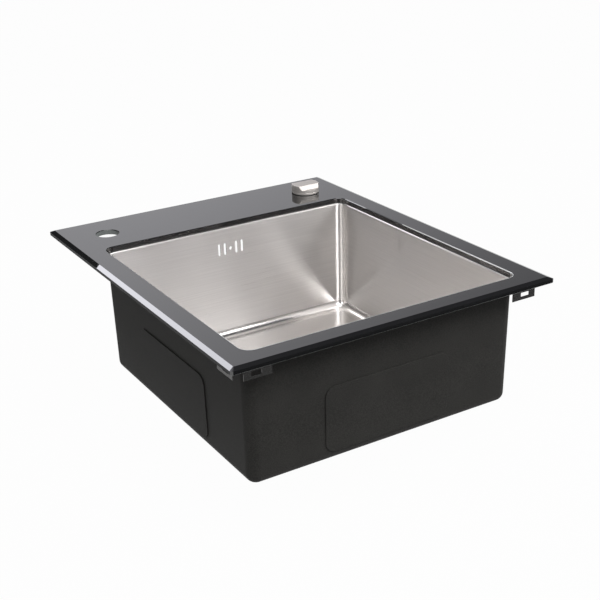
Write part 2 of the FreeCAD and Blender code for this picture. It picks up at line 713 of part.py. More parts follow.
def rocker_pieces():
    """Shaft through the chamber, finger under the stem and crank outside, at rest with the finger down."""
    shaft = bar(SHAFT_R, LOOSE_CLEARANCE - SHAFT_SOCKET_END, CRANK_X + CRANK_T, ROCKER_Y, ROCKER_Z)
    bore = bar(SHAFT_R + FIT_CLEARANCE, -FINGER_W, FINGER_W, ROCKER_Y, ROCKER_Z)
    half = FINGER_W / 2
    finger = bar(FINGER_HUB_R, -half, half, ROCKER_Y, ROCKER_Z)
    arm_corner = Vector(-half, ROCKER_Y, ROCKER_Z - FINGER_ARM_T / 2)
    finger = finger.fuse(Part.makeBox(FINGER_W, FINGER_LENGTH, FINGER_ARM_T, arm_corner))
    finger = finger.fuse(bar(FINGER_TIP_R, -half, half, ROCKER_Y + FINGER_LENGTH, ROCKER_Z)).cut(bore)
    crank = bar(CRANK_HUB_R, CRANK_X, CRANK_X + CRANK_T, ROCKER_Y, ROCKER_Z)
    arm_corner = Vector(CRANK_X, ROCKER_Y - CRANK_TIP_R, CABLE_Z)
    crank = crank.fuse(Part.makeBox(CRANK_T, 2 * CRANK_TIP_R, CRANK_LENGTH, arm_corner))
    crank = crank.fuse(bar(CRANK_TIP_R, CRANK_X, CRANK_X + CRANK_T, ROCKER_Y, CABLE_Z))
    crank = crank.cut(bar(CRANK_EYE_R, CRANK_X, CRANK_X + CRANK_T, ROCKER_Y, CABLE_Z))
    crank = crank.cut(bar(SHAFT_R + FIT_CLEARANCE, CRANK_X, CRANK_X + CRANK_T, ROCKER_Y, ROCKER_Z))
    rest = math.degrees(ROCKER_SWING / 2)
    for piece in (finger, crank):
        piece.rotate(Vector(0, ROCKER_Y, ROCKER_Z), RIGHT, -rest)
    return {
        "rocker_shaft": shaft,
        "lift_finger": finger.removeSplitter(),
        "crank_arm": crank.removeSplitter(),
    }


def cable_bracket():
    """Sheet bracket clamped under the shaft's gland, with a bent tab that stops the cable."""
    low_x = SHAFT_BOSS_END
    web = bar(BRACKET_EYE_R, low_x, low_x + BRACKET_T, ROCKER_Y, ROCKER_Z)
    half = BRACKET_TAB_W / 2
    outline = [
        Vector(low_x, ROCKER_Y, ROCKER_Z + BRACKET_EYE_R),
        Vector(low_x, ROCKER_Y + BRACKET_REACH, CABLE_Z + half),
        Vector(low_x, ROCKER_Y + BRACKET_REACH, CABLE_Z - half),
        Vector(low_x, ROCKER_Y - BRACKET_EYE_R, ROCKER_Z),
    ]
    arm = Part.Face(Part.makePolygon(outline + outline[:1])).extrude(RIGHT * BRACKET_T)
    tab_l = CABLE_X + half - low_x
    corner = Vector(low_x, ROCKER_Y + BRACKET_REACH - BRACKET_T, CABLE_Z - half)
    bracket = web.fuse(arm).fuse(Part.makeBox(tab_l, BRACKET_T, BRACKET_TAB_W, corner))
    bracket = bracket.cut(bar(GLAND_SPIGOT_R, low_x, low_x + BRACKET_T, ROCKER_Y, ROCKER_Z))
    gland_hole = Vector(CABLE_X, corner.y, CABLE_Z)
    bracket = bracket.cut(Part.makeCylinder(CABLE_GLAND_R + FIT_CLEARANCE, BRACKET_T, gland_hole, BACK))
    return bracket.removeSplitter()


def cable_gland(x, face_y, z, outward):
    """Gland with a head outside a wall and a barrel through it, bored for the cable."""
    direction = BACK * outward
    head = Part.makeCylinder(CABLE_GLAND_HEAD_R, CABLE_GLAND_HEAD_T, Vector(x, face_y, z), direction)
    start = Vector(x, face_y + outward * CABLE_GLAND_HEAD_T, z)
    barrel = Part.makeCylinder(CABLE_GLAND_R, CABLE_GLAND_L, start, direction * -1)
    bore_start = Vector(x, face_y - outward * CABLE_GLAND_L, z)
    bore = Part.makeCylinder(CABLE_BORE_R, 2 * CABLE_GLAND_L, bore_start, direction)
    return head.fuse(barrel).cut(bore)


def waste_pieces():
    """Fixed pieces of the waste fitting."""
    spigot_start = SHAFT_BOSS_END - GLAND_SPIGOT_L
    head_start = SHAFT_BOSS_END + BRACKET_T
    spigot_r = GLAND_SPIGOT_R - FIT_CLEARANCE
    gland = bar(spigot_r, spigot_start, head_start, ROCKER_Y, ROCKER_Z)
    gland = gland.fuse(bar(GLAND_HEAD_R, head_start, head_start + GLAND_HEAD_T, ROCKER_Y, ROCKER_Z))
    running = SHAFT_R + RUN_CLEARANCE
    gland = gland.cut(bar(running, spigot_start, head_start + GLAND_HEAD_T, ROCKER_Y, ROCKER_Z))
    ring_start = spigot_start - SHAFT_ORING_T
    ring = bar(spigot_r, ring_start, spigot_start, ROCKER_Y, ROCKER_Z)
    ring = ring.cut(bar(running, ring_start, spigot_start, ROCKER_Y, ROCKER_Z))
    return {
        "waste_top_gasket": tube(GASKET_R, DRAIN_R, RECESS_FLOOR, STRAINER_BOTTOM, 0, BOWL_Y),
        "waste_lower_gasket": tube(GASKET_R, DRAIN_R, BODY_TOP, RECESS_FLOOR - SHEET_T, 0, BOWL_Y),
        "waste_flange": waste_flange(),
        "waste_screws": waste_screws(),
        "waste_body": waste_body(),
        "shaft_gland": gland,
        "shaft_oring": ring,
        "cable_bracket": cable_bracket(),
        "waste_cable_gland": cable_gland(CABLE_X, ROCKER_Y + BRACKET_REACH, CABLE_Z, 1),
    }


def knob_grip():
    """Round grip with a finger notch cut into its front and back, leaving a ridge between them."""
    grip = cylinder(GRIP_R, GRIP_BOTTOM, GRIP_TOP, HOLE_X, HOLE_Y)
    grip = grip.makeFillet(GRIP_EDGE_R, [edge for edge in grip.Edges if edge.BoundBox.ZMin > GRIP_BOTTOM])
    ledge = GRIP_BOTTOM + GRIP_LEDGE_H
    over = GRIP_TOP + CUT_OVERRUN
    lean = (GRIP_NOTCH_FOOT - GRIP_NOTCH_TOP) / (GRIP_TOP - ledge)
    over_y = GRIP_NOTCH_TOP - lean * CUT_OVERRUN
    far = GRIP_R + CUT_OVERRUN
    section = [(GRIP_NOTCH_FOOT, ledge), (over_y, over), (far, over), (far, ledge)]
    for side in (-1, 1):
        points = [Vector(HOLE_X - far, HOLE_Y + side * y, z) for y, z in section]
        notch = Part.Face(Part.makePolygon(points + points[:1])).extrude(RIGHT * (2 * far))
        grip = grip.cut(notch)
    for side in (-1, 1):
        grip = grip.makeChamfer(ARRIS, bend_edge(grip, HOLE_Y + side * GRIP_NOTCH_TOP, GRIP_TOP))
    socket_top = GRIP_BOTTOM + GRIP_SOCKET_DEPTH
    grip = grip.cut(cylinder(SPINDLE_R + FIT_CLEARANCE, GRIP_BOTTOM, socket_top, HOLE_X, HOLE_Y))
    return grip.cut(grub_hole(GRUB_R + FIT_CLEARANCE, GRIP_R))


def grub_hole(radius, end):
    """Level cylinder from the spindle's side out to end, at half the ledge's height, towards the back."""
    start = Vector(HOLE_X, HOLE_Y + SPINDLE_R, GRIP_BOTTOM + GRIP_LEDGE_H / 2)
    return Part.makeCylinder(radius, end - SPINDLE_R, start, BACK)


def knob_base():
    """Rose on the deck with a hollow shank through the glass."""
    base = cylinder(ROSE_R, ROSE_BOTTOM, ROSE_TOP, HOLE_X, HOLE_Y)
    top_edge = [edge for edge in base.Edges if abs(edge.BoundBox.ZMin - ROSE_TOP) < FIT_CLEARANCE]
    base = base.makeFillet(ARRIS, top_edge)
    base = base.fuse(cylinder(SHANK_R, SHANK_BOTTOM, ROSE_BOTTOM, HOLE_X, HOLE_Y))
    base = base.cut(cylinder(SPINDLE_R + RUN_CLEARANCE, SHANK_BOTTOM, ROSE_TOP, HOLE_X, HOLE_Y))
    pocket_floor = ROSE_TOP - SPINDLE_ORING_T
    return base.cut(cylinder(SPINDLE_ORING_R + FIT_CLEARANCE, pocket_floor, ROSE_TOP, HOLE_X, HOLE_Y))


def cable_housing():
    """Cup screwed onto the shank's end, which holds the cable drum and the cable's gland."""
    collar = tube(
        HOUSING_R, SHANK_R + FIT_CLEARANCE, SHANK_BOTTOM, SHANK_BOTTOM + HOUSING_COLLAR_H, HOLE_X, HOLE_Y
    )
    web = tube(HOUSING_R, SPINDLE_R + LOOSE_CLEARANCE, CAVITY_TOP, SHANK_BOTTOM, HOLE_X, HOLE_Y)
    wall = tube(HOUSING_R, HOUSING_R - HOUSING_WALL, CAVITY_BOTTOM, CAVITY_TOP, HOLE_X, HOLE_Y)
    housing = collar.fuse(web).fuse(wall)
    start = Vector(HOLE_X - DRUM_GROOVE_R, HOLE_Y, drum_middle())
    hole = Part.makeCylinder(CABLE_GLAND_R + FIT_CLEARANCE, HOUSING_R, start, BACK * -1)
    return housing.cut(hole).removeSplitter()


def drum_middle():
    """Height of the cable's groove round the drum."""
    return CAVITY_TOP - LOOSE_CLEARANCE - DRUM_H / 2


def cable_drum():
    """Grooved drum on the spindle, whose groove pulls the cable as far as the crank swings."""
    high = CAVITY_TOP - LOOSE_CLEARANCE
    low = high - DRUM_H
    half = DRUM_GROOVE_W / 2
    bore = SPINDLE_R + FIT_CLEARANCE
    profile = [
        (bore, low),
        (DRUM_R, low),
        (DRUM_R, drum_middle() - half),
        (DRUM_GROOVE_R, drum_middle() - half),
        (DRUM_GROOVE_R, drum_middle() + half),
        (DRUM_R, drum_middle() + half),
        (DRUM_R, high),
        (bore, high),
    ]
    return turned(profile, HOLE_X, HOLE_Y)


def knob_pieces():
    """The knob, its fixing through the ledge and the cable drive below."""
    drum_bottom = CAVITY_TOP - LOOSE_CLEARANCE - DRUM_H
    clip_bottom = drum_bottom - CLIP_T
    spindle_bottom = CAVITY_BOTTOM + LOOSE_CLEARANCE
    spindle_top = GRIP_BOTTOM + GRIP_SOCKET_DEPTH
    groove_r = SPINDLE_R - CLIP_GROOVE
    spindle = cylinder(SPINDLE_R, spindle_bottom, spindle_top, HOLE_X, HOLE_Y)
    spindle = spindle.cut(tube(SPINDLE_R + CUT_OVERRUN, groove_r, clip_bottom, drum_bottom, HOLE_X, HOLE_Y))
    nut_top = GLASS_BOTTOM - DECK_WASHER_T
    nut = hexagon(BACK_NUT_AF, nut_top - BACK_NUT_T, nut_top, HOLE_X, HOLE_Y)
    nut = nut.cut(cylinder(SHANK_R + FIT_CLEARANCE, nut_top - BACK_NUT_T, nut_top, HOLE_X, HOLE_Y))
    shank_bore = SHANK_R + LOOSE_CLEARANCE
    ring_bore = SPINDLE_R + RUN_CLEARANCE
    ring_low = ROSE_TOP - SPINDLE_ORING_T
    gland_y = HOLE_Y - math.sqrt(HOUSING_R**2 - (DRUM_GROOVE_R - CABLE_GLAND_HEAD_R) ** 2)
    cover_bottom = CAVITY_BOTTOM - HOUSING_COVER_T
    return {
        "knob_grip": knob_grip(),
        "grub_screw": grub_hole(GRUB_R, SPINDLE_R + GRUB_L),
        "knob_spindle": spindle,
        "cable_drum": cable_drum(),
        "spindle_clip": tube(CLIP_R, groove_r + FIT_CLEARANCE, clip_bottom, drum_bottom, HOLE_X, HOLE_Y),
        "knob_base": knob_base(),
        "knob_gasket": tube(KNOB_GASKET_R, shank_bore, GLASS_TOP, ROSE_BOTTOM, HOLE_X, HOLE_Y),
        "spindle_oring": tube(SPINDLE_ORING_R, ring_bore, ring_low, ROSE_TOP, HOLE_X, HOLE_Y),
        "deck_washer": tube(DECK_WASHER_R, shank_bore, nut_top, GLASS_BOTTOM, HOLE_X, HOLE_Y),
        "back_nut": nut,
        "cable_housing": cable_housing(),
        "housing_cover": cylinder(HOUSING_R, cover_bottom, CAVITY_BOTTOM, HOLE_X, HOLE_Y),
        "knob_cable_gland": cable_gland(HOLE_X - DRUM_GROOVE_R, gland_y, drum_middle(), -1),
    }


def main():
    """Builds every piece and writes one file for each."""
    nodes = {
        "glass_deck": glass_deck(),
        "worktop_seal": worktop_seal(),
        "bond_seal": bond_seal(),
        "bowl": bowl(),
        "pad_floor": floor_pads(),
    }
    nodes.update(hanger_tabs())
    nodes.update(wall_pads())
    nodes.update(waste_pieces())
    nodes.update(plug_pieces())
    nodes.update(rocker_pieces())
    nodes.update(knob_pieces())
    os.makedirs("parts", exist_ok=True)
    for name, shape in nodes.items():
        shape.exportStep(f"parts/{name}.step")
    print(f"{len(nodes)} pieces; plug lift {PLUG_LIFT:.3f} mm; drum groove {DRUM_GROOVE_R:.3f} mm")


main()
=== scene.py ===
"""Looks of a drop-in kitchen sink: glass deck, pressed steel bowl, pop-up waste and ledge knob."""

from __future__ import annotations

import logging
import math
from dataclasses import dataclass, field
from enum import Enum
from typing import Any

import bpy
from mathutils import Matrix, Vector

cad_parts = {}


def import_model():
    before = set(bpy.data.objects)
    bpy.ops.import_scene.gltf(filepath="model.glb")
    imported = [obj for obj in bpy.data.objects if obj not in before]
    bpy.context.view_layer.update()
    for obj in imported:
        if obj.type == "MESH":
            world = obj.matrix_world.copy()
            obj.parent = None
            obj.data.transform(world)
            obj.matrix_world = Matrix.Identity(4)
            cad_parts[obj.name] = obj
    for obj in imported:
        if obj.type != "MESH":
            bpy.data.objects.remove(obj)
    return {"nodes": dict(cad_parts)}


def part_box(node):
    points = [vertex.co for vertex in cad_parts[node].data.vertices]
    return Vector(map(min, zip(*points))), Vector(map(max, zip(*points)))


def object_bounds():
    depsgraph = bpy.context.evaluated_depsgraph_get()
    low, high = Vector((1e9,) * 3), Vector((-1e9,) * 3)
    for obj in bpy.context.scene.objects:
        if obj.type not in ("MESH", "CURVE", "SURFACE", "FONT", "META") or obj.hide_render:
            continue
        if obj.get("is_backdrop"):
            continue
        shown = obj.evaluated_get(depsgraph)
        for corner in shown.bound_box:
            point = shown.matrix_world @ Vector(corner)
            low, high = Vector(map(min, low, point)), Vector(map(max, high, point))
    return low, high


Triple = tuple[float, float, float]
Colour = Triple
Point = Triple
Band = tuple[float, float]
Inputs = dict[int | str, Any]

LOG = logging.getLogger("sink")
WHITE: Colour = (1.0, 1.0, 1.0)
ORIGIN: Point = (0.0, 0.0, 0.0)
NOISE_MIDDLE = 0.5
LYING_CARD_Z = -0.28


class Brush(Enum):
    """Ways a metal surface is grained."""

    LEVEL = "level"
    TURNED = "turned"
    NONE = "none"


class Signal:
    """A shader socket that takes part in arithmetic: each operation adds a Math node."""

    def __init__(self, graph: Graph, socket: bpy.types.NodeSocket) -> None:
        """Wraps an output socket of a graph's node."""
        self.graph = graph
        self.socket = socket

    def math(self, operation: str, first: Any, second: Any = 0.0) -> Signal:
        """Adds one Math node.

        Args:
            operation: Name of the Math operation.
            first: Signal or number for the first socket.
            second: Signal or number for the second socket.

        Returns:
            The node's result.
        """
        return self.graph.node("ShaderNodeMath", {"operation": operation}, {0: first, 1: second})

    def __add__(self, other: Any) -> Signal:
        """Sum."""
        return self.math("ADD", self, other)

    def __radd__(self, other: Any) -> Signal:
        """Sum with a number in front."""
        return self.math("ADD", other, self)

    def __sub__(self, other: Any) -> Signal:
        """Difference."""
        return self.math("SUBTRACT", self, other)

    def __rsub__(self, other: Any) -> Signal:
        """Difference from a number in front."""
        return self.math("SUBTRACT", other, self)

    def __mul__(self, other: Any) -> Signal:
        """Product."""
        return self.math("MULTIPLY", self, other)

    def __rmul__(self, other: Any) -> Signal:
        """Product with a number in front."""
        return self.math("MULTIPLY", other, self)

    def __truediv__(self, other: Any) -> Signal:
        """Quotient."""
        return self.math("DIVIDE", self, other)

    def __rtruediv__(self, other: Any) -> Signal:
        """Quotient of a number in front."""
        return self.math("DIVIDE", other, self)

    def __abs__(self) -> Signal:
        """Size without sign."""
        return self.math("ABSOLUTE", self)

    def root(self) -> Signal:
        """Square root."""
        return self.math("SQRT", self)

    def ridge(self) -> Signal:
        """Triangle wave: one at whole numbers, nought halfway between them."""
        return abs(self.math("FRACT", self) - 0.5) * 2

    def bearing(self, across: Signal) -> Signal:
        """Angle of the point that lies this far along and the given distance across."""
        return self.math("ARCTAN2", self, across)

    def larger(self, other: Any) -> Signal:
        """The larger of two values."""
        return self.math("MAXIMUM", self, other)

    def above(self, edge: float) -> Signal:
        """One where the value is above an edge, otherwise nought."""
        return self.math("GREATER_THAN", self, edge)

    def ease(self, low: float, high: float) -> Signal:
        """Rises smoothly from nought to one.

        Args:
            low: Value up to which the result is nought.
            high: Value from which the result is one.

        Returns:
            The eased value.
        """
        settings = {"interpolation_type": "SMOOTHSTEP"}
        limits = {"From Min": low, "From Max": high, "To Min": 0.0, "To Max": 1.0}
        return self.graph.node("ShaderNodeMapRange", settings, {"Value": self, **limits})


class Graph:
    """A node tree that is written as expressions."""

    # Socket numbers of the Mix node when it mixes colours
    MIX_SHARE, MIX_FIRST, MIX_SECOND, MIX_COLOUR = 0, 6, 7, 2
    BACKGROUND_RAYS = ("Camera", "Glossy", "Transmission")

    def __init__(self, tree: bpy.types.NodeTree) -> None:
        """Empties the tree and keeps it."""
        tree.nodes.clear()
        self.tree = tree

    def node(
        self,
        kind: str,
        settings: dict[str, Any] | None = None,
        inputs: Inputs | None = None,
        output: int | str = 0,
    ) -> Signal:
        """Adds any node.

        Args:
            kind: The node's type.
            settings: Attributes that are set first.
            inputs: Values or signals by socket name or number.
            output: The socket that is returned.

        Returns:
            The chosen output.
        """
        made = self.tree.nodes.new(kind)
        for name, value in (settings or {}).items():
            setattr(made, name, value)
        for name, value in (inputs or {}).items():
            self.feed(made.inputs[name], value)
        return Signal(self, made.outputs[output])

    def feed(self, socket: bpy.types.NodeSocket, value: Any) -> None:
        """Links a signal to a socket, or sets the socket's own value.

        Args:
            socket: Input socket of a node.
            value: Signal, number, colour or vector.
        """
        if isinstance(value, Signal):
            self.tree.links.new(value.socket, socket)
        else:
            socket.default_value = value

    def place(self) -> Signal:
        """Position in the piece's own frame, in metres."""
        return self.node("ShaderNodeTexCoord", output="Object")

    def facing(self) -> Signal:
        """Surface normal in the piece's own frame."""
        return self.node("ShaderNodeTexCoord", output="Normal")

    def ray(self, kind: str) -> Signal:
        """One for rays of a kind, otherwise nought."""
        return self.node("ShaderNodeLightPath", output=f"Is {kind} Ray")

    def seen(self) -> Signal:
        """One for rays that show the background: straight, mirrored or through glass."""
        straight, mirrored, through = (self.ray(kind) for kind in self.BACKGROUND_RAYS)
        return straight.larger(mirrored).larger(through)

    def axis(self, vector: Signal, name: str) -> Signal:
        """One component of a vector, named X, Y or Z."""
        return self.node("ShaderNodeSeparateXYZ", inputs={0: vector}, output=name)

    def vector(self, operation: str, first: Any, second: Any, output: int | str = 0) -> Signal:
        """Adds one Vector Math node and returns the chosen output."""
        settings = {"operation": operation}
        return self.node("ShaderNodeVectorMath", settings, {0: first, 1: second}, output)

    def noise(self, vector: Signal, scale: float, detail: float = 2.0) -> Signal:
        """Cloudy noise between nought and one."""
        inputs = {"Vector": vector, "Scale": scale, "Detail": detail}
        return self.node("ShaderNodeTexNoise", inputs=inputs)

    def blend(self, share: Signal, first: Signal | Colour, second: Signal | Colour) -> Signal:
        """Mixes two colours.

        Args:
            share: Nought for the first colour, one for the second.
            first: Colour, or signal that carries one.
            second: Colour, or signal that carries one.

        Returns:
            The colour between them.
        """
        ends = [end if isinstance(end, Signal) else opaque(end) for end in (first, second)]
        inputs = {self.MIX_SHARE: share, self.MIX_FIRST: ends[0], self.MIX_SECOND: ends[1]}
        return self.node("ShaderNodeMix", {"data_type": "RGBA"}, inputs, self.MIX_COLOUR)

    def mix(self, share: Signal, first: Signal, second: Signal) -> Signal:
        """Shader between two shaders."""
        return self.node("ShaderNodeMixShader", inputs={0: share, 1: first, 2: second})

    def bump(self, height: Signal, strength: float, distance: float) -> Signal:
        """Surface normal that follows a height."""
        inputs = {"Height": height, "Strength": strength, "Distance": distance}
        return self.node("ShaderNodeBump", inputs=inputs)

    def surface(self, **inputs: Any) -> Signal:
        """Principled shader; underscores in names stand for spaces."""
        named = {name.replace("_", " "): value for name, value in inputs.items()}
        return self.node("ShaderNodeBsdfPrincipled", inputs=named)

    def grey(self, tone: float) -> Signal:
        """Plain matt shader without hue."""
        return self.node("ShaderNodeBsdfDiffuse", inputs={"Color": opaque((tone, tone, tone))})

    def finish(self, shader: Signal, kind: str = "ShaderNodeOutputMaterial") -> None:
        """Ends the graph in its output node."""
        end = self.tree.nodes.new(kind)
        self.tree.links.new(shader.socket, end.inputs[0])


def opaque(colour: Colour) -> tuple[float, float, float, float]:
    """Colour with full cover, as the sockets take it."""
    return (*colour, 1.0)


def axis_of(node: str) -> Point:
    """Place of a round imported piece's upright axis, at the height of the origin."""
    low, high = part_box(node)
    return ((low.x + high.x) / 2, (low.y + high.y) / 2, 0.0)


@dataclass(frozen=True)
class Finish:
    """A named material."""

    name: str

    def shade(self, graph: Graph) -> Signal:
        """Builds the shader in a graph and returns it."""
        raise NotImplementedError

    def material(self) -> bpy.types.Material:
        """Makes the Blender material.

        Returns:
            The material, with its nodes.
        """
        made = bpy.data.materials.new(self.name)
        made.use_nodes = True
        graph = Graph(made.node_tree)
        graph.finish(self.shade(graph))
        return made


@dataclass(frozen=True)
class PolishedGlass(Finish):
    """Black glass with a polished face, ground seams and holes, the faintest wiping marks and a
    painted highlight along the front of the opening.
    """

    deep: Colour = (0.0030, 0.0032, 0.0038)
    pale: Colour = (0.0048, 0.0050, 0.0058)
    frost: Colour = (0.13, 0.145, 0.14)
    # Pale colour painted along the front of the opening: a painted highlight for the light seen
    # through the clear edge
    clear: Colour = (0.55, 0.56, 0.56)
    ior: float = 1.97
    rough: float = 0.012
    wiped_rough: float = 0.012
    edge_rough: float = 0.08
    ground_rough: float = 0.45
    wipe_stretch: Point = (9.0, 2.0, 9.0)
    wipe_scale: float = 3.0
    wipe_detail: float = 3.0
    wipe_band: Band = (0.45, 0.75)
    upright_band: Band = (0.3, 0.6)
    seam_start: Band = (0.5, 0.6)
    seam_end: Band = (0.8, 0.9)
    hole: Point = ORIGIN
    hole_reach: float = 0.0185
    opening_centre: Point = (0.0, -0.048, 0.0)
    opening_half: Point = (0.213, 0.218, 0.0)
    opening_round: float = 0.016
    rim_light_width: float = 0.0019
    rim_light_full: float = 0.6
    rim_light_level: Band = (0.5, 0.9)
    rim_light_fade: Band = (-0.18, 0.1)

    def ground(self, graph: Graph, edge: Signal, slope: Signal) -> Signal:
        """One on the underside's seam and in the two drilled holes, where the glass is left ground.

        Args:
            graph: The material's graph.
            edge: One on upright faces.
            slope: Upward part of the surface normal.

        Returns:
            Share of the ground look.
        """
        seam = (0 - slope).ease(*self.seam_start) * (1 - (0 - slope).ease(*self.seam_end))
        across = abs(graph.axis(graph.place(), "X")) - self.hole[0]
        along = graph.axis(graph.place(), "Y") - self.hole[1]
        outside = (across * across + along * along).above(self.hole_reach**2)
        return seam.larger(edge * (1 - outside))

    def painted_rim_light(self, graph: Graph) -> Signal:
        """One along the front of the opening, where a painted highlight stands in for the light
        that comes in through the clear edge.

        Args:
            graph: The material's graph.

        Returns:
            Share of the painted highlight.
        """
        local = graph.vector("SUBTRACT", graph.place(), self.opening_centre)
        inner = [half - self.opening_round for half in self.opening_half]
        across = (abs(graph.axis(local, "X")) - inner[0]).larger(0.0)
        along = (abs(graph.axis(local, "Y")) - inner[1]).larger(0.0)
        reach = (across * across + along * along).root() - self.opening_round
        near = 1 - reach.ease(self.rim_light_width * self.rim_light_full, self.rim_light_width)
        return near * (1 - graph.axis(local, "Y").ease(*self.rim_light_fade))

    def shade(self, graph: Graph) -> Signal:
        """Builds the glass with its wiping marks, the painted highlight along the opening's front
        edge, and ground edges.

        Args:
            graph: The material's graph.

        Returns:
            The shader.
        """
        slope = graph.axis(graph.facing(), "Z")
        stretched = graph.vector("MULTIPLY", graph.place(), self.wipe_stretch)
        wiped = graph.noise(stretched, self.wipe_scale, self.wipe_detail).ease(*self.wipe_band)
        edge = 1 - abs(slope).ease(*self.upright_band)
        ground = self.ground(graph, edge, slope)
        polished = graph.blend(wiped, self.deep, self.pale)
        # Painted highlight: the pale clear colour is blended in along the front of the opening
        lit = graph.blend(self.painted_rim_light(graph) * slope.ease(*self.rim_light_level), polished, self.clear)
        rough = self.rough + wiped * self.wiped_rough + edge * self.edge_rough
        return graph.surface(
            Base_Color=graph.blend(ground, lit, self.frost),
            Roughness=rough + ground * self.ground_rough,
            IOR=self.ior,
        )


@dataclass(frozen=True)
class SatinSteel(Finish):
    """Brushed sheet, turned metal or plain metal with a fine speckle."""

    colour: Colour = (0.76, 0.745, 0.732)
    dark: Colour = (0.67, 0.655, 0.642)
    rough: float = 0.30
    brush: Brush = Brush.LEVEL
    anisotropy: float = 0.5
    turn: float = 0.0
    centre: Point = ORIGIN
    bend_polish: float = 0.0
    bend_below: float = -0.1
    bend_band: Band = (0.1, 0.35)
    wall_stretch: Point = (9.0, 9.0, 1500.0)
    floor_stretch: Point = (9.0, 1500.0, 9.0)
    sheet_detail: float = 3.0
    ring_scale: float = 2600.0
    speckle_scale: float = 900.0
    cloud_scale: float = 14.0
    level_band: Band = (0.6, 0.85)
    streak_band: Band = (0.25, 0.75)
    streak_rough: float = 0.5
    cloud_rough: float = 0.2
    relief_strength: float = 0.05
    relief_depth: float = 0.00004

    def rings(self, graph: Graph, place: Signal) -> Signal:
        """Streaks around the centre, as turning leaves them.

        Args:
            graph: The material's graph.
            place: Position in metres.

        Returns:
            Streaks between nought and one.
        """
        local = graph.vector("SUBTRACT", place, self.centre)
        flat = graph.vector("MULTIPLY", local, (1.0, 1.0, 0.0))
        radius = graph.vector("LENGTH", flat, ORIGIN, "Value")
        height = graph.axis(local, "Z")
        inputs = {"X": radius * self.ring_scale, "Y": height * self.ring_scale}
        return graph.noise(graph.node("ShaderNodeCombineXYZ", inputs=inputs), 1.0)

    def lines(self, graph: Graph, place: Signal) -> Signal:
        """Level streaks around the walls and along the floor.

        Args:
            graph: The material's graph.
            place: Position in metres.

        Returns:
            Streaks between nought and one.
        """
        on_wall, on_floor = (
            graph.noise(graph.vector("MULTIPLY", place, stretch), 1.0, self.sheet_detail)
            for stretch in (self.wall_stretch, self.floor_stretch)
        )
        level = abs(graph.axis(graph.facing(), "Z")).ease(*self.level_band)
        return on_wall + level * (on_floor - on_wall)

    def grain(self, graph: Graph, place: Signal) -> Signal:
        """Streaks along the brushing, or a speckle where there is none.

        Args:
            graph: The material's graph.
            place: Position in metres.

        Returns:
            Grain between nought and one.
        """
        if self.brush is Brush.TURNED:
            return self.rings(graph, place)
        if self.brush is Brush.LEVEL:
            return self.lines(graph, place)
        return graph.noise(place, self.speckle_scale)

    def shade(self, graph: Graph) -> Signal:
        """Builds the metal, smoother on low bends where these are polished.

        Args:
            graph: The material's graph.

        Returns:
            The shader.
        """
        place = graph.place()
        cloud = graph.noise(place, self.cloud_scale, self.sheet_detail)
        streak = self.grain(graph, place)
        streaked = (streak - NOISE_MIDDLE) * self.streak_rough
        rough = (1 + streaked + (cloud - NOISE_MIDDLE) * self.cloud_rough) * self.rough
        if self.bend_polish:
            upward = graph.axis(graph.facing(), "Z")
            low = 1 - graph.axis(place, "Z").above(self.bend_below)
            rough = rough * (1 - upward.ease(*self.bend_band) * low * self.bend_polish)
        return graph.surface(
            Base_Color=graph.blend(streak.ease(*self.streak_band), self.dark, self.colour),
            Metallic=1.0,
            Roughness=rough,
            Anisotropic=self.anisotropy,
            Anisotropic_Rotation=self.turn,
            Normal=graph.bump(streak, self.relief_strength, self.relief_depth),
        )


@dataclass(frozen=True)
class MattCoat(Finish):
    """Sprayed matt black coat with a fine grain."""

    deep: Colour = (0.0188, 0.0182, 0.0170)
    pale: Colour = (0.0366, 0.0356, 0.0333)
    rough: float = 0.60
    grain_rough: float = 0.2
    cloud_rough: float = 0.1
    sheen: float = 0.12
    grain_scale: float = 800.0
    cloud_scale: float = 22.0
    cloud_detail: float = 3.0
    grain_share: float = 0.75
    tone_band: Band = (0.3, 0.7)
    relief_strength: float = 0.35
    relief_depth: float = 0.0003

    def shade(self, graph: Graph) -> Signal:
        """Builds the coat.

        Args:
            graph: The material's graph.

        Returns:
            The shader.
        """
        place = graph.place()
        grain = graph.noise(place, self.grain_scale)
        cloud = graph.noise(place, self.cloud_scale, self.cloud_detail)
        tone = (grain * self.grain_share + cloud * (1 - self.grain_share)).ease(*self.tone_band)
        rough = self.rough + (grain - NOISE_MIDDLE) * self.grain_rough
        return graph.surface(
            Base_Color=graph.blend(tone, self.deep, self.pale),
            Roughness=rough + (cloud - NOISE_MIDDLE) * self.cloud_rough,
            Specular_IOR_Level=self.sheen,
            Normal=graph.bump(grain, self.relief_strength, self.relief_depth),
        )


@dataclass(frozen=True)
class CoatedBowl(Finish):
    """Bowl sheet: brushed steel inside, smoother on the floor, with a matt coat on the outside."""

    axis: Point = ORIGIN
    watch_height: float = 0.15
    flat_band: Band = (0.9, 0.985)
    steel: SatinSteel = SatinSteel(
        "bowl_inside",
        colour=(0.785, 0.764, 0.747),
        dark=(0.715, 0.694, 0.677),
        rough=0.32,
        anisotropy=0.96,
        turn=0.25,
        bend_polish=0.5,
    )
    floor: SatinSteel = SatinSteel(
        "bowl_floor",
        colour=(0.785, 0.764, 0.747),
        dark=(0.725, 0.704, 0.687),
        rough=0.24,
        anisotropy=0.0,
    )
    coat: MattCoat = MattCoat("bowl_outside")

    def shade(self, graph: Graph) -> Signal:
        """Builds the sheet: what faces a point above the bowl is inside, the rest is coated.

        Args:
            graph: The material's graph.

        Returns:
            The shader.
        """
        watch_point = (*self.axis[:2], self.watch_height)
        reach = graph.vector("SUBTRACT", graph.place(), watch_point)
        away = graph.vector("DOT_PRODUCT", reach, graph.facing(), "Value")
        upward = graph.axis(graph.facing(), "Z")
        low = 1 - graph.axis(graph.place(), "Z").above(self.steel.bend_below)
        flat = upward.ease(*self.flat_band) * low
        inside = graph.mix(flat, self.steel.shade(graph), self.floor.shade(graph))
        return graph.mix(away.above(0.0), inside, self.coat.shade(graph))


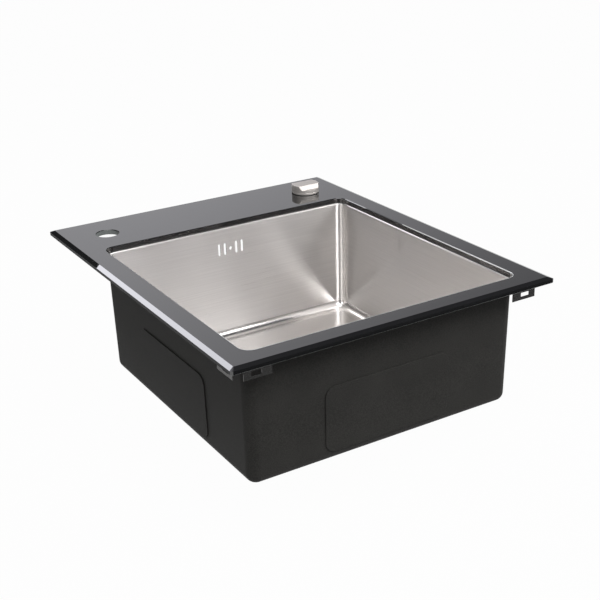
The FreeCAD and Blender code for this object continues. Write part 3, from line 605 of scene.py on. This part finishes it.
@dataclass(frozen=True)
class Moulded(Finish):
    """Moulded plastic or rubber with a fine erosion grain."""

    deep: Colour = (0.020, 0.020, 0.021)
    pale: Colour = (0.032, 0.032, 0.033)
    rough: float = 0.5
    grain_rough: float = 0.18
    grain_scale: float = 1600.0
    grain_detail: float = 3.0
    cloud_scale: float = 60.0
    tone_band: Band = (0.3, 0.7)
    relief_strength: float = 0.12
    relief_depth: float = 0.0001

    def relief(self, graph: Graph, grain: Signal) -> Signal:
        """Surface normal of the moulded grain."""
        return graph.bump(grain, self.relief_strength, self.relief_depth)

    def shade(self, graph: Graph) -> Signal:
        """Builds the moulded surface.

        Args:
            graph: The material's graph.

        Returns:
            The shader.
        """
        place = graph.place()
        grain = graph.noise(place, self.grain_scale, self.grain_detail)
        cloud = graph.noise(place, self.cloud_scale)
        return graph.surface(
            Base_Color=graph.blend(cloud.ease(*self.tone_band), self.deep, self.pale),
            Roughness=self.rough + (grain - NOISE_MIDDLE) * self.grain_rough,
            Normal=self.relief(graph, grain),
        )


@dataclass(frozen=True)
class ThreadedPlastic(Moulded):
    """Moulded plastic with a pipe thread around its lower end."""

    axis: Point = ORIGIN
    top: float = -0.2645
    inner: float = 0.0225
    pitch: float = 0.002309
    grain_share: float = 0.01
    thread_strength: float = 1.0
    thread_depth: float = 0.0012

    def relief(self, graph: Graph, grain: Signal) -> Signal:
        """Surface normal of the thread, with the moulded grain on it.

        Args:
            graph: The material's graph.
            grain: Moulded grain between nought and one.

        Returns:
            The normal.
        """
        local = graph.vector("SUBTRACT", graph.place(), self.axis)
        across, along, height = (graph.axis(local, name) for name in "XYZ")
        climb = height / self.pitch - along.bearing(across) / math.tau
        outside = (across * across + along * along).above(self.inner**2)
        threaded = climb.ridge() * (outside * (1 - height.above(self.top)))
        raised = threaded + grain * self.grain_share
        return graph.bump(raised, self.thread_strength, self.thread_depth)


@dataclass(frozen=True)
class Foam(Finish):
    """Closed-cell foam with open pores on its cut faces."""

    colour: Colour = (0.045, 0.045, 0.048)
    pore: Colour = (0.012, 0.012, 0.013)
    rough: float = 0.82
    wall_rough: float = 0.1
    cell_scale: float = 1400.0
    wall_band: Band = (0.15, 0.5)
    relief_strength: float = 0.4
    relief_depth: float = 0.0003

    def shade(self, graph: Graph) -> Signal:
        """Builds the foam's cells.

        Args:
            graph: The material's graph.

        Returns:
            The shader.
        """
        inputs = {"Vector": graph.place(), "Scale": self.cell_scale}
        wall = graph.node("ShaderNodeTexVoronoi", inputs=inputs).ease(*self.wall_band)
        return graph.surface(
            Base_Color=graph.blend(wall, self.pore, self.colour),
            Roughness=self.rough + wall * self.wall_rough,
            Normal=graph.bump(wall, self.relief_strength, self.relief_depth),
        )


@dataclass
class Workshop:
    """The finishes of the whole sink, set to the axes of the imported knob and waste."""

    knob_axis: Point
    waste_axis: Point
    pad: MattCoat = MattCoat("coated_pad")
    sheet: SatinSteel = SatinSteel(
        "zinc_sheet",
        colour=(0.46, 0.455, 0.45),
        dark=(0.43, 0.425, 0.42),
        rough=0.15,
        brush=Brush.NONE,
    )
    brass: SatinSteel = SatinSteel(
        "turned_brass",
        colour=(0.74, 0.58, 0.32),
        dark=(0.64, 0.48, 0.25),
        rough=0.28,
        brush=Brush.NONE,
    )
    rubber: Moulded = Moulded("black_rubber", rough=0.66)
    plastic: Moulded = Moulded("black_plastic", rough=0.42)
    foam: Foam = Foam("seal_foam")
    made: dict[str, bpy.types.Material] = field(default_factory=dict)

    @property
    def glass(self) -> PolishedGlass:
        """Deck glass, ground in the knob's hole and in the tap hole opposite it."""
        return PolishedGlass("black_glass", hole=self.knob_axis)

    @property
    def bowl(self) -> CoatedBowl:
        """Bowl sheet around the waste."""
        return CoatedBowl("coated_bowl", axis=self.waste_axis)

    @property
    def steel(self) -> SatinSteel:
        """Steel turned about the waste's axis."""
        brush = Brush.TURNED
        return SatinSteel("turned_steel", rough=0.24, brush=brush, centre=self.waste_axis)

    @property
    def nickel(self) -> SatinSteel:
        """Satin nickel turned about the knob's axis.

        Returns:
            The finish of grip and rose.
        """
        return SatinSteel(
            "satin_nickel",
            colour=(0.66, 0.63, 0.60),
            dark=(0.56, 0.53, 0.50),
            rough=0.6,
            brush=Brush.TURNED,
            anisotropy=0.0,
            centre=self.knob_axis,
        )

    @property
    def pipe(self) -> ThreadedPlastic:
        """Waste plastic with the outlet's thread."""
        return ThreadedPlastic("threaded_plastic", rough=0.42, axis=self.waste_axis)

    def material(self, finish: Finish) -> bpy.types.Material:
        """Gives a finish's material, made on first use.

        Args:
            finish: One of the workshop's finishes.

        Returns:
            The material that all pieces with this finish share.
        """
        if finish.name not in self.made:
            self.made[finish.name] = finish.material()
        return self.made[finish.name]


@dataclass
class Assembly:
    """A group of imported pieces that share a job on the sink."""

    shop: Workshop
    nodes: dict[str, bpy.types.Object]

    def coats(self) -> dict[str, Finish]:
        """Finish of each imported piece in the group."""
        raise NotImplementedError

    def dress(self) -> None:
        """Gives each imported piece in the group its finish."""
        for node, finish in self.coats().items():
            slots = self.nodes[node].data.materials
            slots.clear()
            slots.append(self.shop.material(finish))
            LOG.info("%s: %s", node, finish.name)


@dataclass
class GlassTop(Assembly):
    """Glass deck with its bond and worktop seal."""

    polish_width: float = 0.0006
    polish_segments: int = 3
    polish_angle: float = math.radians(35.0)

    def coats(self) -> dict[str, Finish]:
        """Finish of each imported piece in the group."""
        shop = self.shop
        return {"glass_deck": shop.glass, "bond_seal": shop.rubber, "worktop_seal": shop.foam}

    def dress(self) -> None:
        """Gives each piece its finish and rounds the glass edges as polishing leaves them."""
        super().dress()
        polish = self.nodes["glass_deck"].modifiers.new("polish", "BEVEL")
        polish.width = self.polish_width
        polish.segments = self.polish_segments
        polish.limit_method = "ANGLE"
        polish.angle_limit = self.polish_angle


@dataclass
class Basin(Assembly):
    """Bowl with its sound pads and hanger tabs."""

    sides: tuple[str, ...] = ("front", "back", "left", "right")

    def coats(self) -> dict[str, Finish]:
        """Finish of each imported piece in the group.

        Returns:
            Finishes by the names of the pieces.
        """
        coats: dict[str, Finish] = {"bowl": self.shop.bowl, "pad_floor": self.shop.pad}
        for side in self.sides:
            coats[f"pad_{side}"] = self.shop.pad
            coats[f"bracket_{side}"] = self.shop.sheet
        return coats


@dataclass
class Waste(Assembly):
    """Strainer flange, gaskets, body and the shaft's seal."""

    def coats(self) -> dict[str, Finish]:
        """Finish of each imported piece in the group.

        Returns:
            Finishes by the names of the pieces.
        """
        shop = self.shop
        return {
            "waste_flange": shop.steel,
            "waste_screws": shop.sheet,
            "waste_body": shop.pipe,
            "waste_top_gasket": shop.rubber,
            "waste_lower_gasket": shop.rubber,
            "shaft_gland": shop.plastic,
            "shaft_oring": shop.rubber,
            "cable_bracket": shop.sheet,
            "waste_cable_gland": shop.plastic,
        }


@dataclass
class Plug(Assembly):
    """Basket plug and the rocker that lifts it."""

    def coats(self) -> dict[str, Finish]:
        """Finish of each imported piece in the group.

        Returns:
            Finishes by the names of the pieces.
        """
        shop = self.shop
        return {
            "basket": shop.steel,
            "plug_seal": shop.rubber,
            "seal_plate": shop.steel,
            "stem_nut": shop.brass,
            "plug_stem": shop.brass,
            "plug_grip": shop.steel,
            "rocker_shaft": shop.brass,
            "lift_finger": shop.brass,
            "crank_arm": shop.sheet,
        }


@dataclass
class LedgeKnob(Assembly):
    """Knob on the ledge, its fixing through the glass and its cable drum."""

    def coats(self) -> dict[str, Finish]:
        """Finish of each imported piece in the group.

        Returns:
            Finishes by the names of the pieces.
        """
        shop = self.shop
        return {
            "knob_grip": shop.nickel,
            "knob_base": shop.nickel,
            "grub_screw": shop.sheet,
            "knob_gasket": shop.rubber,
            "spindle_oring": shop.rubber,
            "knob_spindle": shop.brass,
            "cable_drum": shop.plastic,
            "spindle_clip": shop.sheet,
            "deck_washer": shop.rubber,
            "back_nut": shop.brass,
            "cable_housing": shop.plastic,
            "housing_cover": shop.plastic,
            "knob_cable_gland": shop.plastic,
        }


def card(name: str, low: Point, high: Point, paint: Finish) -> bpy.types.Object:
    """Makes a flat four-sided card for the studio.

    Args:
        name: Name of the object and its mesh.
        low: First corner.
        high: Opposite corner, at the same height or at the same depth.
        paint: The card's finish.

    Returns:
        The card.
    """
    corners = [low, (high[0], low[1], low[2]), high, (low[0], high[1], high[2])]
    mesh = bpy.data.meshes.new(name)
    mesh.from_pydata(corners, [], [range(len(corners))])
    mesh.materials.append(paint.material())
    made = bpy.data.objects.new(name, mesh)
    bpy.context.scene.collection.objects.link(made)
    return made


@dataclass(frozen=True)
class Softbox:
    """A rectangular lamp, described by the brightness of its face."""

    name: str
    stand: Point
    aim: Point
    width: float
    height: float
    brightness: float
    tint: Colour = WHITE

    def build(self) -> None:
        """Makes the lamp and turns it to its aim."""
        lamp = bpy.data.lights.new(self.name, "AREA")
        lamp.shape = "RECTANGLE"
        lamp.size = self.width
        lamp.size_y = self.height
        lamp.energy = self.brightness * math.pi * self.width * self.height
        lamp.color = self.tint
        made = bpy.data.objects.new(self.name, lamp)
        bpy.context.scene.collection.objects.link(made)
        made.location = self.stand
        way = Vector(self.aim) - Vector(self.stand)
        made.rotation_euler = way.to_track_quat("-Z", "Y").to_euler()


@dataclass(frozen=True)
class GreyPaint(Finish):
    """Matt paint without hue."""

    tone: float

    def shade(self, graph: Graph) -> Signal:
        """Builds the shader in a graph and returns it."""
        return graph.grey(self.tone)


@dataclass(frozen=True)
class Flag:
    """A dark card that only mirrored light sees, as used around glossy goods."""

    name: str
    low: Point
    high: Point
    tone: float
    unseen_by: tuple[str, ...] = ("camera", "diffuse", "shadow", "transmission")

    def build(self) -> None:
        """Makes the card and hides it from all but mirrored light."""
        made = card(self.name, self.low, self.high, GreyPaint(self.name, self.tone))
        for ray in self.unseen_by:
            setattr(made, f"visible_{ray}", False)
        made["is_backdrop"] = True


@dataclass(frozen=True)
class FloorPaint(Finish):
    """Floor that shows white, also where it is mirrored, and keeps a soft shadow."""

    tone: float = 0.3
    white_share: float = 0.98

    def shade(self, graph: Graph) -> Signal:
        """Builds the floor: white where it is seen, grey paint for the light that it throws back.

        Args:
            graph: The material's graph.

        Returns:
            The shader.
        """
        paint = graph.grey(self.tone)
        glow = graph.node("ShaderNodeEmission", inputs={"Color": opaque(WHITE), "Strength": 1.0})
        return graph.mix(graph.seen() * self.white_share, paint, glow)


@dataclass(frozen=True)
class Dimming:
    """A side of the studio that is mirrored darker."""

    way: Point
    band: Band
    depth: float

    def share(self, graph: Graph, way: Signal) -> Signal:
        """How much darker the surroundings are mirrored in a direction."""
        return graph.vector("DOT_PRODUCT", way, self.way, "Value").ease(*self.band) * self.depth


@dataclass
class Studio:
    """White floor and surroundings, soft lamps, dark cards and the camera."""

    floor_half: float = 20.0
    ambient: float = 0.1
    mirrored_hue: Colour = (0.96, 0.955, 1.0)
    dim_right: Dimming = Dimming(way=(0.8, 0.0, 0.6), band=(0.45, 0.90), depth=0.90)
    dim_left: Dimming = Dimming(way=(-1.0, 0.0, 0.0), band=(0.15, 0.5), depth=0.85)
    sensor_width: float = 36.0
    focal_px: float = 1126.36
    frame_px: float = 600.0
    yaw: float = math.radians(-30.978)
    pitch: float = math.radians(22.798)
    roll: float = math.radians(-1.633)
    eye: Point = (-0.77814, -1.33839, 0.58352)
    lamps: tuple[Softbox, ...] = (
        Softbox("lamp_back", stand=(-0.12, 2.0, 1.41), aim=(-0.2, 0.0, 0.0),
                width=0.9, height=0.72, brightness=3.7, tint=(0.93, 0.93, 1.0)),
        Softbox("lamp_spark", stand=(-0.85, 2.0, 1.85), aim=ORIGIN,
                width=0.5, height=0.5, brightness=3.5),
        Softbox("lamp_top", stand=(-0.5, -0.5, 2.0), aim=(-0.5, -0.5, 0.0),
                width=1.8, height=1.6, brightness=1.2),
        Softbox("lamp_front", stand=(1.26, -2.0, 1.6), aim=(0.1, 0.0, 0.0),
                width=0.4, height=1.2, brightness=3.2),
        Softbox("lamp_key", stand=(-0.12, -1.9, 2.0), aim=ORIGIN,
                width=1.0, height=1.2, brightness=13.0),
        Softbox("lamp_left", stand=(-2.0, -0.35, 1.5), aim=ORIGIN,
                width=0.9, height=1.2, brightness=3.5),
        Softbox("lamp_right", stand=(2.3, -1.4, 1.5), aim=(0.0, 0.0, -0.1),
                width=1.2, height=1.2, brightness=8.6),
    )
    flags: tuple[Flag, ...] = (
        Flag("flag_front", (-0.3, -1.15, LYING_CARD_Z), (1.3, -0.62, LYING_CARD_Z), tone=0.05),
        Flag("flag_left", (-0.8, 0.0, LYING_CARD_Z), (-0.36, 1.4, LYING_CARD_Z), tone=0.3),
        Flag("flag_back", (-0.8, 2.05, 0.2), (0.28, 2.05, 1.06), tone=0.065),
    )

    def floor(self, level: float) -> None:
        """Lays a white floor that keeps a soft shadow.

        Args:
            level: Height of the floor in metres.
        """
        half = self.floor_half
        paint = FloorPaint("white_floor")
        made = card("floor", (-half, -half, level), (half, half, level), paint)
        made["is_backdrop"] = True

    def sky(self) -> None:
        """Sets white surroundings that are mirrored darker to the upper right and to the left."""
        world = bpy.data.worlds.new("studio")
        bpy.context.scene.world = world
        world.use_nodes = True
        graph = Graph(world.node_tree)
        way = graph.node("ShaderNodeTexCoord", output="Generated")
        mirrored = graph.ray("Glossy")
        dim = self.dim_right.share(graph, way).larger(self.dim_left.share(graph, way))
        hue = graph.blend(mirrored, WHITE, self.mirrored_hue)
        soft = {"Color": opaque(WHITE), "Strength": self.ambient}
        white = {"Color": hue, "Strength": 1 - mirrored * dim}
        lights = [graph.node("ShaderNodeBackground", inputs=inputs) for inputs in (soft, white)]
        graph.finish(graph.mix(graph.seen(), *lights), "ShaderNodeOutputWorld")

    def camera(self) -> None:
        """Sets the camera to the measured view."""
        data = bpy.data.cameras.new("camera")
        data.sensor_width = self.sensor_width
        data.lens = self.focal_px * self.sensor_width / self.frame_px
        made = bpy.data.objects.new("camera", data)
        bpy.context.scene.collection.objects.link(made)
        up = Vector((0.0, 0.0, 1.0))
        right = Vector((math.cos(self.yaw), math.sin(self.yaw), 0.0))
        level = Vector((-math.sin(self.yaw), math.cos(self.yaw), 0.0))
        forward = level * math.cos(self.pitch) - up * math.sin(self.pitch)
        above = level * math.sin(self.pitch) + up * math.cos(self.pitch)
        side = right * math.cos(self.roll) + above * math.sin(self.roll)
        top = above * math.cos(self.roll) - right * math.sin(self.roll)
        turn = Matrix((side, top, -forward)).transposed().to_4x4()
        made.matrix_world = Matrix.Translation(self.eye) @ turn
        bpy.context.scene.camera = made

    def build(self, level: float) -> None:
        """Builds the whole studio.

        Args:
            level: Height of the floor in metres.
        """
        self.floor(level)
        self.sky()
        for piece in self.lamps + self.flags:
            piece.build()
        self.camera()
        bpy.context.scene.view_settings.view_transform = "Standard"


def numbers(box: tuple[Vector, Vector]) -> list[list[float]]:
    """Corners of a box as plain lists."""
    return [[float(value) for value in corner] for corner in box]


def main() -> None:
    """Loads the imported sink, dresses it and sets the studio."""
    logging.basicConfig(level=logging.INFO, format="%(name)s %(message)s")
    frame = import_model()
    solid_box = numbers(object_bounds())
    shop = Workshop(knob_axis=axis_of("knob_base"), waste_axis=axis_of("waste_flange"))
    for kind in (GlassTop, Basin, Waste, Plug, LedgeKnob):
        kind(shop, frame["nodes"]).dress()
    Studio().build(solid_box[0][2])


if __name__ == "__main__":
    main()
